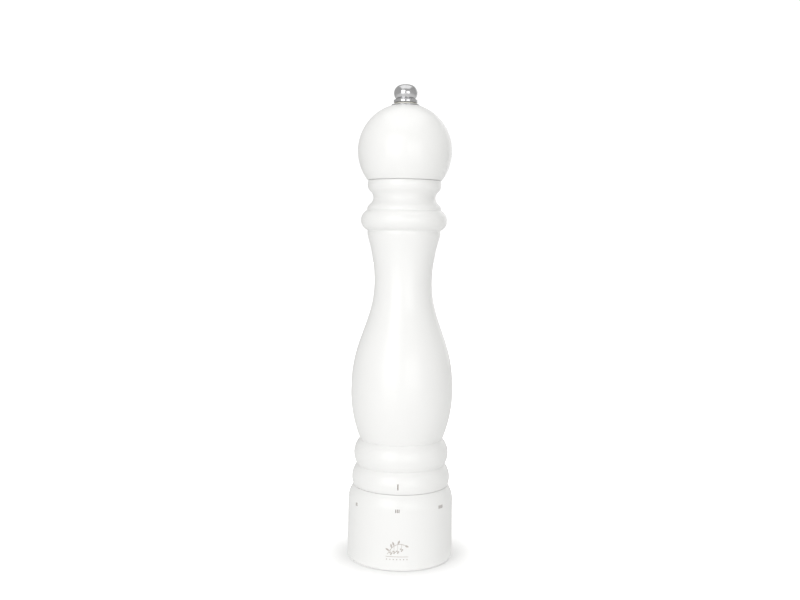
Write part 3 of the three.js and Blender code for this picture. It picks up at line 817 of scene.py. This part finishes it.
# ---- Spindle ----
def add_spindle():
    """A square bar with a threaded stud on top and two grooves for its clips."""
    low, high = heights("spindle")
    stud_r, groove_r = 2.4, 2.75
    shoulder = high - 8.2
    bar_mesh = square_bar(SPINDLE_WIDTH, low, shoulder, 0.4, edge=0.25)
    stud = joined(
        [(0.0, shoulder - 1), (stud_r, shoulder - 1)],
        upright(stud_r, shoulder, high - 0.6),
        [(stud_r - 0.6, high), (0.0, high)],
    )
    screw = turned(stud, SMALL, wobble=thread(stud_r, shoulder + 0.3, high - 0.55, 0.3, NUT_PITCH))
    grooves = []
    for clip in ("spindle_clip_lower", "spindle_clip_upper"):
        low, high = heights(clip)
        grooves.append(ring(low - 0.1, high + 0.1, groove_r, SPINDLE_WIDTH, sides=SMALL))
    mesh = carved(bar_mesh, add=[screw], cut=grooves)
    add_object("spindle_bar", mesh, STAINLESS, "spindle", "spindle")


def square_hole(low, high):
    return square_bar(SPINDLE_WIDTH + SQUARE_PLAY, low - 1, high + 1, corner=0.25)


def add_spindle_bush():
    low, high = heights("spindle_bush")
    mesh = carved(flanged(low, high, 0.0, 5.1, 6.6, 1.1, 0.25), cut=[square_hole(low, high)])
    add_object("spindle_bearing", mesh, BRASS, "spindle", "spindle_bush")


def e_clip_outline():
    """An open ring that grips at three prongs, one opposite its mouth and one on each side of it."""
    rim, relief, grip = 5.9, 4.15, 2.95
    mouth, prong, slope = 0.65, math.radians(17), 0.12  # half angles, and the angle of a prong's flank
    first, last = mouth + prong, TAU - mouth - prong
    points = arc_points(rim, mouth, TAU - mouth, 60)
    for middle, following in ((last, math.pi), (math.pi, first)):
        points += arc_points(grip, middle + prong, middle - prong, 8)
        points += arc_points(relief, middle - prong - slope, following + prong + slope, 14)
    return points + arc_points(grip, first + prong, first - prong, 8)


def add_e_clips():
    for side, facing in (("lower", 0.0), ("upper", math.pi / 2)):
        node = f"spindle_clip_{side}"
        mesh = smooth(extruded(e_clip_outline(), *heights(node), 0.12))
        mesh.transform(Matrix.Rotation(facing, 4, "Z"))
        add_object(f"e_clip_{side}", mesh, SPRING_STEEL, "spindle", node)


def add_wave_washer():
    """A thin disc bent into three waves, with a square hole."""
    low, high = heights("spring_washer")
    outer, wave = 7.3, 0.12
    mesh = carved(ring(low + wave, high - wave, 0.0, outer, 0.1), cut=[square_hole(low, high)])
    for vert in mesh.vertices:
        angle = math.atan2(vert.co.y, vert.co.x)
        reach = math.hypot(vert.co.x, vert.co.y) / (outer * MM)
        vert.co.z += 0.11 * MM * math.cos(3 * angle) * reach
    add_object("wave_washer", mesh, STAINLESS, "spindle", "spring_washer")


def add_rotor_spring():
    """A compression spring with closed ends, between the turning burr and the washer."""
    low, high = heights("rotor_spring")
    radius, gauge, turns, closed_turns = 6.1, 0.6, 6.5, 1.0  # gauge is half the wire's thickness
    open_turns = turns - 2 * closed_turns
    closed_pitch = 2.04 * gauge
    open_pitch = (high - low - 2 * gauge - 2 * closed_turns * closed_pitch) / open_turns
    points = []
    for i in range(round(turns * 48) + 1):
        t = i / 48
        opened = min(max(t - closed_turns, 0.0), open_turns)
        rise = closed_pitch * (t - opened) + open_pitch * opened
        points.append((*around(radius, TAU * t), low + gauge + rise))
    spring = add_object("burr_coil_spring", wire(points, gauge), SPRING_STEEL, node="rotor_spring")
    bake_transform(spring)


# ---- Burrs ----
CONE_FOOT = heights("rotor_burr")[0] + 5.3
BURR_NECK = 19.0  # height where the fine grinding teeth end
BURR_TOP = 33.0
GRIND_R = (13.2, 12.2)  # tips of the turning burr's fine teeth, at its foot and at its neck
BREAK_R = (12.1, 6.6)  # tips of its coarse teeth, at its neck and at its top
BURR_CLEARANCE = 0.5


def add_turning_burr():
    """A toothed cone: fine grinding teeth below, coarse breaking teeth above, and a hub through both."""
    low, high = heights("rotor_burr")
    grinding = fluted(22, 0.91, CONE_FOOT, BURR_NECK, lambda t: mix(*GRIND_R, t), 0.32, 20)
    breaking = fluted(6, 0.72, BURR_NECK - 0.3, BURR_TOP, lambda t: mix(*BREAK_R, t), 1.5, 40)
    hub = [(0.0, low), (2.3, low), (2.9, low + 0.6), (2.9, CONE_FOOT + 1), (8.4, CONE_FOOT + 1)]
    neck = [(8.4, BURR_NECK), (6.2, BURR_TOP - 1), (7.1, BURR_TOP - 1), (7.1, high), (0.0, high)]
    recess = ring(CONE_FOOT - 1, CONE_FOOT + 7.5, 6.4, 10.6, 0.6)
    mesh = carved(
        grinding,
        add=[breaking, turned(rounded(hub + neck, 0.3, closed=False))],
        cut=[recess, square_bar(SPINDLE_WIDTH + 0.5, 12.6, 40, corner=0.2)],
    )
    add_object("turning_burr", mesh, BURR_STEEL, "rotor", "rotor_burr")


def add_fixed_burr():
    """The toothed ring round the turning burr, which leaves it a constant clearance."""
    low, high = heights("stator_burr")
    grind_low, root = low - 0.5, 0.9

    def grinding_radius(t):
        height = (mix(grind_low, BURR_NECK, t) - CONE_FOOT) / (BURR_NECK - CONE_FOOT)
        return (mix(*GRIND_R, height) + BURR_CLEARANCE) / root

    body = ring(low, high, 9.0, 17.4, 0.3, FINE)
    grinding = fluted(24, root, grind_low, BURR_NECK, grinding_radius, -0.28, 16)
    feeding = fluted(10, 0.86, BURR_NECK - 0.01, high + 0.5, lambda t: mix(15.2, 16.8, t), -0.45, 16)
    keys = at_arms((16.2, -1.4, low + 3), (18.2, 1.4, high - 3), 0.3)
    mesh = carved(body, add=keys, cut=[grinding, feeding])
    add_object("fixed_burr", mesh, BURR_STEEL, "mill_body", "stator_burr")


def add_circlip():
    """The inside circlip under the fixed burr, with two eyes for its pliers."""
    low, high = heights("stator_snap_ring")
    gap, ear, slope = 0.25, 0.13, 0.04  # angles: half its mouth, an ear, and an ear's flank
    outer_r, inner_r, ear_r, eye_circle = 17.5, 16.2, 14.5, 15.7
    start, end = INDEX_ANGLE + gap, INDEX_ANGLE + TAU - gap
    points = arc_points(outer_r, start, end, 90)
    points += arc_points(ear_r, end, end - ear, 6)
    points += arc_points(inner_r, end - ear - slope, start + ear + slope, 84)
    points += arc_points(ear_r, start + ear, start, 6)
    eye_angles = (start + ear / 2, end - ear / 2)
    eyes = [pin(0.55, low - 1, high + 1, *around(eye_circle, angle)) for angle in eye_angles]
    mesh = carved(extruded(points, low, high, 0.1), cut=eyes)
    add_object("burr_circlip", mesh, SPRING_STEEL, "mill_body", "stator_snap_ring")


# ---- Housing ----
HOUSING_R = 25.6
LIP_R = 27.2
LIP_TOP = 11.0
SEAT_R = 17.7  # bore that the fixed burr sits in
SEAT_TOP = 28.0
SEAT_WALL_R = 19.4
WALL_BORE_R = 24.1
FLANGE_LOW = 44.6
TUBE_R = 18.6
TUBE_BORE_R = 16.6


def add_housing():
    """One moulding: a seat for the fixed burr, a wall round it, a flange over both and a tube above."""
    low, high = heights("mechanism_housing")
    flange_high = BODY_FOOT - 0.2
    frame_outline = rounded(
        [
            (TUBE_BORE_R, high), (TUBE_R, high), (TUBE_R, flange_high), (HOUSING_R, flange_high),
            (HOUSING_R, LIP_TOP), (LIP_R, LIP_TOP), (LIP_R, low), (WALL_BORE_R, low),
            (WALL_BORE_R, FLANGE_LOW), (SEAT_WALL_R, FLANGE_LOW), (SEAT_WALL_R, low), (SEAT_R, low),
            (SEAT_R, SEAT_TOP), (15.6, SEAT_TOP), (TUBE_BORE_R, SEAT_TOP + 2.7),
        ],
        0.3,
    )
    stop_angle = ARM_ANGLES[0] + 3 * SETTING_STEP
    stop = sector(HOUSING_R - 0.5, LIP_R, LIP_TOP - 0.5, LIP_TOP + 2.1, stop_angle, math.radians(70), 0.2)
    rib_low, rib_high = (SEAT_WALL_R - 0.4, -0.6, 16), (WALL_BORE_R + 0.4, 0.6, FLANGE_LOW + 0.4)
    rib_angles = [angle + side for angle in SCREW_ANGLES for side in (-0.42, 0.42)]
    ribs = [block(rib_low, rib_high, angle, 0.15) for angle in rib_angles]
    boss = rod(2.7, SEAT_WALL_R - 0.5, WALL_BORE_R + 0.5, CLICK_HEIGHT, INDEX_ANGLE)
    pocket = rod(1.75, 20.4, HOUSING_R + 1, CLICK_HEIGHT, INDEX_ANGLE)
    holes = [pin(1.75, FLANGE_LOW - 1, flange_high + 1, *around(SCREW_CIRCLE, a)) for a in SCREW_ANGLES]
    slots = at_arms((WALL_BORE_R - 1, -3.3, low - 1), (25.62, 3.3, 17), 0.4)
    keyways = at_arms((SEAT_R - 1, -1.8, low - 1), (SEAT_R + 0.9, 1.8, SEAT_TOP))
    bridge_seat = block((-4.3, -30, high - 2.2), (4.3, 30, high + 3))
    cuts = [pocket, *holes, *slots, *keyways, bridge_seat]
    mesh = carved(turned(frame_outline, FINE), add=[stop, boss, *ribs], cut=cuts)
    add_object("housing_moulding", mesh, WHITE_PLASTIC, "mill_body", "mechanism_housing")


def add_bridge():
    """The steel bar across the housing's tube, with an eye for the spindle's bearing."""
    low, high = heights("upper_bridge")
    half, eye, reach = 4.0, 7.4, TUBE_R - 0.3
    bend = math.asin(half / eye)
    right = arc_points(eye, bend - math.pi / 2, math.pi / 2 - bend, 36)
    left = arc_points(eye, math.pi / 2 + bend, 1.5 * math.pi - bend, 36)
    end_corners = [(half, reach), (-half, reach)]
    outline = [(-half + 0.8, -reach), (half - 0.8, -reach), (half, -reach + 0.8), *right]
    outline += rounded([right[-1], *end_corners, left[0]], 0.8, closed=False)[1:-1] + left
    outline.append((-half, -reach + 0.8))
    mesh = carved(extruded(outline, low, high, 0.2), cut=[pin(5.35, low - 1, high + 1, sides=64)])
    add_object("bridge_pressing", mesh, STAINLESS, "mill_body", "upper_bridge")


def add_screw(name, node, place, head_height, core_r, recess, body):
    """A pan-head screw driven upwards, with a cross recess and a coarse thread up to its point."""
    low, high = heights(node)
    head_r = (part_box(node)[1].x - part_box(node)[0].x) / MM / 2
    head_high = low + head_height
    head = bezier((0.0, low), (0.62 * head_r, low), (head_r, low + 0.35), (head_r, low + 1.1), 12)
    outline = joined(
        head,
        [(head_r, head_high - 0.12), (head_r - 0.12, head_high), (core_r, head_high)],
        upright(core_r, head_high + 0.3, high - 1.4),
        [(0.5 * core_r, high - 0.5), (0.0, high)],
    )
    cut = thread(core_r, head_high + 1.0, high - 1.5, 0.32, 1.1)
    x, y = place
    cross = []
    for turn in (math.pi / 4, -math.pi / 4):
        arm = block((-recess, -0.25, low - 1), (recess, 0.25, low + 0.8), turn)
        arm.transform(Matrix.Translation((x * MM, y * MM, 0)))
        cross.append(arm)
    mesh = carved(turned(outline, SMALL, x=x, y=y, wobble=cut), cut=cross)
    add_object(name, mesh, STAINLESS, body, node)


def add_housing_screws():
    for i, angle in enumerate(SCREW_ANGLES, 1):
        place = around(SCREW_CIRCLE, angle)
        add_screw(f"housing_cross_screw_{i}", f"housing_screw_{i}", place, 2.2, 1.3, 1.3, "mill_body")


def add_click_parts():
    """The sprung ball that clicks into the sleeve's grooves."""
    ball_r = 1.5
    meridian = arc_points(ball_r, -math.pi / 2, math.pi / 2, 24, y=CLICK_HEIGHT)
    meridian[0], meridian[-1] = (0.0, CLICK_HEIGHT - ball_r), (0.0, CLICK_HEIGHT + ball_r)
    mesh = turned(meridian, SMALL, y=ball_r - HOUSING_R)
    add_object("click_ball", mesh, STAINLESS, "mill_body", "detent_ball")
    end, start = (corner.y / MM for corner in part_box("detent_spring"))
    gauge, turns = 0.2, 5
    points = []
    for i in range(turns * 24 + 1):
        t = i / 24
        x, z = around(1.1, TAU * t)
        points.append((x, mix(start - gauge, end + gauge, t / turns), CLICK_HEIGHT + z))
    add_object("click_spring", wire(points, gauge, 8), SPRING_STEEL, "mill_body", "detent_spring")


# ---- Adjuster ----
def add_sleeve():
    """The ring's black lining, with the carrier's thread, the click grooves and the stop lug."""
    low, high = heights("adjuster_sleeve")
    outer, land, recess, recess_top = 28.9, 26.0, 27.85, 13.6
    outline = joined(
        [(outer, low + 0.3), (outer, high - 0.3), (outer - 0.3, high), (land + 0.3, high)],
        [(land, high - 0.3), (land, recess_top + 0.3), (land + 0.3, recess_top)],
        upright(recess, recess_top, low + 0.3),
        [(recess + 0.3, low), (outer - 0.3, low)],
    )
    cut = thread(recess, low + 0.4, recess_top - 0.2, 0.33, LEAD, STARTS, hand=-1)
    lug = sector(land, recess + 0.3, LIP_TOP + 0.4, recess_top + 0.5, ARM_ANGLES[0], math.radians(30), 0.15)
    places = [around(land - 0.2, angle) for _, angle in setting_angles()]
    grooves = [pin(1.1, CLICK_HEIGHT - 3, CLICK_HEIGHT + 3, *place) for place in places]
    mesh = carved(turned(outline, FINE, wobble=cut), add=[lug], cut=grooves)
    add_object("sleeve_moulding", mesh, BLACK_PLASTIC, "grind_ring", "adjuster_sleeve")


def add_carrier():
    """The black three-armed carrier, threaded round its rim, with a finger at the end of each arm."""
    low, high = heights("burr_carrier")
    hub = ring(low, low + 4.4, 4.5, 6.6, 0.35)
    rim_low, rim_high, rim_r = low + 0.3, low + 5.1, 27.15
    rim = joined(
        [(24.4, rim_high), (24.4, rim_low), (rim_r - 0.3, rim_low)],
        upright(rim_r, rim_low + 0.2, rim_high - 0.2),
        [(rim_r - 0.3, rim_high)],
    )
    cut = thread(rim_r, rim_low + 0.2, rim_high - 0.2, 0.33, LEAD, STARTS, hand=-1)
    arms = at_arms((5.6, -3.2, rim_low), (25.5, 3.2, rim_low + 3.8), 0.45)
    fingers = at_arms((24.4, -3, rim_high - 0.7), (25.3, 3, high), 0.2)
    hollows = at_arms((8.4, -1.9, rim_low - 1), (22.8, 1.9, rim_low + 1.2), 0.3)
    mesh = carved(turned(rim, FINE, wobble=cut), add=[hub, *arms, *fingers], cut=hollows)
    add_object("carrier_moulding", mesh, BLACK_PLASTIC, "carrier", "burr_carrier")


def add_carrier_bearing():
    mesh = flanged(*heights("carrier_bush"), 3.2, 4.3, 5.9, 0.6, 0.2)
    add_object("carrier_bearing", mesh, BRASS, "carrier", "carrier_bush")
    thrust_ring = ring(*heights("thrust_washer"), 3.3, 5.9, 0.12)
    add_object("thrust_ring", thrust_ring, STAINLESS, "carrier", "thrust_washer")


# ---- Head's drive ----
def add_drive_plate():
    low, high = heights("drive_plate")
    places = [(side * PLATE_SCREW_R, 0) for side in (1, -1)]
    holes = [pin(1.4, low - 1, high + 1, *place) for place in places]
    mesh = carved(ring(low, high, 0.0, 12.6, 0.3), cut=[square_hole(low, high), *holes])
    add_object("drive_plate_disc", mesh, STAINLESS, "head", "drive_plate")
    for i, place in enumerate(places, 1):
        add_screw(f"plate_screw_{i}", f"drive_plate_screw_{i}", place, 1.55, 1.05, 1.15, "head")


# ---- Stage ----
def add_floor():
    """A pale floor, just under the mill, that fades into the white surround away from it. It glows as
    painted
    light: to the camera more the further it is from the foot, with a thin painted ring of light at the
    foot's edge that lightens the contact shadow, and to all else only by the foot, as painted bounce light
    on the mill."""
    made = bmesh.new()
    bmesh.ops.create_circle(made, cap_ends=True, segments=MEDIUM, radius=6.0)
    bmesh.ops.translate(made, verts=made.verts, vec=(0, 0, -0.0002))
    floor = bpy.data.objects.new("floor", finished(made, "floor"))
    bpy.context.scene.collection.objects.link(floor)
    s = Surface("pale_floor", (0.93, 0.93, 0.93), 0.6, Emission_Color=(1, 1, 1, 1))
    s.color(s.blend(s.span(s.noise(3.0, 2.0), 0.3, 0.7), (0.92, 0.92, 0.92), (0.94, 0.94, 0.94)))
    to_camera = s.add("ShaderNodeLightPath").outputs["Is Camera Ray"]
    to_all_else = s.math("SUBTRACT", 1.0, to_camera)
    radius = s.radius()
    # Painted light: the first span is a thin ring of glow at the foot's edge that lightens the contact
    # shadow; the second whitens the floor to the camera away from the foot.
    shown = s.math("ADD", s.span(radius, 0.031, 0.0345, 0.12, 0.0), s.span(radius, 0.034, 0.11, 0.06, 1.1))
    # Painted bounce light: near the foot the floor glows to every ray but the camera's, which lights the
    # mill's underside.
    painted_bounce = s.math("MULTIPLY", to_all_else, s.span(radius, 0.03, 0.05, 0.13, 0.0))
    glow = s.math("ADD", s.math("MULTIPLY", to_camera, shown), painted_bounce)
    s.links.new(glow, s.shader.inputs["Emission Strength"])
    floor.data.materials.append(s.material)


def add_light(name, place, aim, size, watts):
    data = bpy.data.lights.new(name, "AREA")
    data.shape = "RECTANGLE"
    data.size, data.size_y = size
    data.energy = watts
    light = bpy.data.objects.new(name, data)
    light.location = place
    light.rotation_euler = (Vector(aim) - Vector(place)).to_track_quat("-Z", "Y").to_euler()
    bpy.context.scene.collection.objects.link(light)


def add_lighting():
    """A white studio: a white background to the camera, a softer surround, and large soft lights."""
    world = bpy.data.worlds.new("studio")
    world.use_nodes = True
    bpy.context.scene.world = world
    nodes, links = world.node_tree.nodes, world.node_tree.links
    seen, surround = nodes["Background"], nodes.new("ShaderNodeBackground")
    for background, color, strength in ((seen, (1, 1, 1, 1), 1.1), (surround, (1, 1, 0.985, 1), 0.56)):
        background.inputs["Color"].default_value = color
        background.inputs["Strength"].default_value = strength
    path = nodes.new("ShaderNodeLightPath")
    choice = nodes.new("ShaderNodeMixShader")
    links.new(path.outputs["Is Camera Ray"], choice.inputs[0])
    links.new(surround.outputs[0], choice.inputs[1])
    links.new(seen.outputs[0], choice.inputs[2])
    links.new(choice.outputs[0], nodes["World Output"].inputs["Surface"])
    middle = (0, 0, 0.14)
    add_light("key", (-0.55, -1.25, 0.5), middle, (0.9, 1.1), 6.3)
    add_light("fill", (0.6, -1.25, 0.25), middle, (0.8, 0.9), 3.3)
    add_light("top", (0.0, -0.1, 1.5), middle, (1.6, 1.6), 6.6)
    add_light("back", (0.55, 1.3, 0.5), middle, (0.9, 0.9), 1.5)


bpy.context.scene.view_settings.view_transform = "Standard"
add_camera()
add_lighting()
add_floor()
add_body()
add_head()
add_grind_ring()
add_marks()
add_emblem()
add_ferrule()
add_nut()
add_spindle()
add_spindle_bush()
add_e_clips()
add_wave_washer()
add_rotor_spring()
add_turning_burr()
add_fixed_burr()
add_circlip()
add_housing()
add_bridge()
add_housing_screws()
add_click_parts()
add_sleeve()
add_carrier()
add_carrier_bearing()
add_drive_plate()
